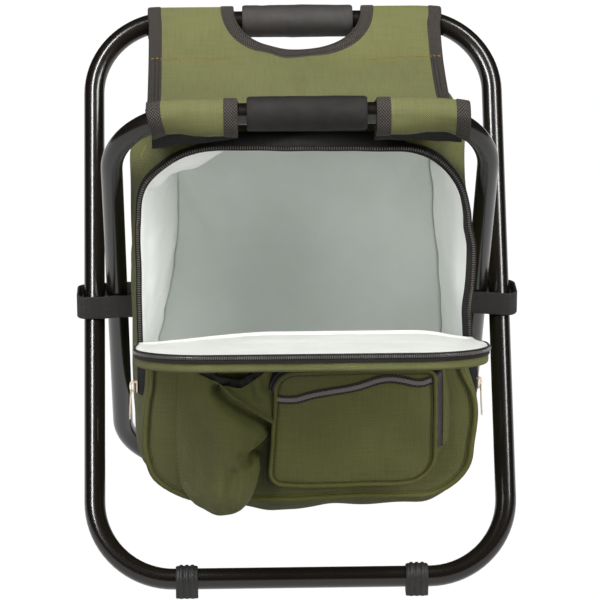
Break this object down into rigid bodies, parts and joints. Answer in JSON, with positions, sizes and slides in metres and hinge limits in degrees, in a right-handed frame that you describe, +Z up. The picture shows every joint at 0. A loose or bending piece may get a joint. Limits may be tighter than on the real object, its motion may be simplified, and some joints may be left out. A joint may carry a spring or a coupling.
{
  "type": "folding cooler stool",
  "caption": "Folding stool of crossed steel tube loops with a slung fabric seat and a hanging insulated cooler bag with a drop-down zip lid and front pockets.",
  "frame": {"origin": "on the floor, at the middle of the area that the open stool and its open lid cover", "axes": "+X to the right seen from the front, +Y towards the back, away from the lid, +Z up"},
  "size_m": [0.3832, 0.4398, 0.4472],
  "materials": {
    "frame_paint": "gloss",
    "rivet_steel": "satin",
    "washer_plastic": "matte",
    "foot_rubber": "matte",
    "grip_foam": "matte",
    "olive_cloth": "matte",
    "black_binding": "matte",
    "zip_tape": "matte",
    "strap_webbing": "matte",
    "insulation_foam": "matte",
    "white_lining": "satin",
    "reflective_tape": "satin",
    "zip_metal": "polished"
  },
  "bodies": {
    "outer_frame": {"outer_frame": "frame_paint", "pivot_rivet_left": "rivet_steel", "pivot_rivet_right": "rivet_steel", "spacer_washer_left": "washer_plastic", "spacer_washer_right": "washer_plastic", "foot_front_left": "foot_rubber", "foot_front_right": "foot_rubber", "grip_back": "grip_foam", "seat_sleeve_back_left": "olive_cloth", "seat_sleeve_back_right": "olive_cloth", "seat_cloth": "olive_cloth", "seat_binding_left": "black_binding", "seat_binding_right": "black_binding", "cutout_binding_back": "black_binding"},
    "inner_frame": {"inner_frame": "frame_paint", "foot_back_left": "foot_rubber", "foot_back_right": "foot_rubber", "grip_front": "grip_foam", "seat_sleeve_front_left": "olive_cloth", "seat_sleeve_front_right": "olive_cloth", "cutout_binding_front": "black_binding"},
    "bag": {"bag_shell": "olive_cloth", "bag_foam": "insulation_foam", "bag_liner": "white_lining", "bag_zip_tape": "zip_tape", "front_piping": "olive_cloth", "front_pocket": "olive_cloth", "pocket_piping": "olive_cloth", "reflective_strip": "reflective_tape", "pocket_zip_tape": "zip_tape", "bottle_pocket": "olive_cloth", "bottle_pocket_elastic": "black_binding", "leg_strap_left": "strap_webbing", "leg_strap_right": "strap_webbing"},
    "lid": {"lid_shell": "olive_cloth", "lid_foam": "insulation_foam", "lid_liner": "white_lining", "lid_zip_tape": "zip_tape"},
    "left_slider": {"lid_zip_left_slider": "zip_metal"},
    "left_pull": {"lid_zip_left_pull": "zip_metal"},
    "right_slider": {"lid_zip_right_slider": "zip_metal"},
    "right_pull": {"lid_zip_right_pull": "zip_metal"},
    "pocket_slider": {"pocket_zip_slider": "zip_metal"},
    "pocket_pull": {"pocket_zip_pull": "zip_metal"}
  },
  "joints": [
    {"name": "frame_fold", "type": "hinge", "parent": "outer_frame", "child": "inner_frame", "pos_m": [0, 0.06155, 0.22013], "axis": [1, 0, 0], "range_deg": [-60, 0], "deforming": ["seat_cloth", "seat_binding_left", "seat_binding_right", "cutout_binding_back", "cutout_binding_front"]},
    {"name": "bag_hang", "type": "hinge", "parent": "outer_frame", "child": "bag", "pos_m": [0, 0.06155, 0.22013], "axis": [1, 0, 0], "range_deg": [-30, 0]},
    {"name": "lid_hinge", "type": "hinge", "parent": "bag", "child": "lid", "pos_m": [0, -0.04845, 0.21313], "axis": [1, 0, 0], "range_deg": [-77, 45]},
    {"name": "lid_zip_left_slide", "type": "slide", "parent": "bag", "child": "left_slider", "axis": [0, 0, 1], "range_m": [0, 0.14]},
    {"name": "lid_zip_left_pull_swing", "type": "hinge", "parent": "left_slider", "child": "left_pull", "pos_m": [-0.14235, -0.03395, 0.17563], "axis": [0, 1, 0], "range_deg": [0, 120]},
    {"name": "lid_zip_right_slide", "type": "slide", "parent": "bag", "child": "right_slider", "axis": [0, 0, 1], "range_m": [0, 0.14]},
    {"name": "lid_zip_right_pull_swing", "type": "hinge", "parent": "right_slider", "child": "right_pull", "pos_m": [0.15135, -0.03395, 0.17563], "axis": [0, -1, 0], "range_deg": [0, 120]},
    {"name": "pocket_zip_slide", "type": "slide", "parent": "bag", "child": "pocket_slider", "axis": [1, 0, 0], "range_m": [-0.038, 0.042]},
    {"name": "pocket_zip_pull_swing", "type": "hinge", "parent": "pocket_slider", "child": "pocket_pull", "pos_m": [0.0465, -0.05385, 0.20343], "axis": [0, 0, 1], "range_deg": [0, 180]}
  ],
  "couplings": [
    {"joint": "bag_hang", "follows": "frame_fold", "ratio": 0.5}
  ]
}
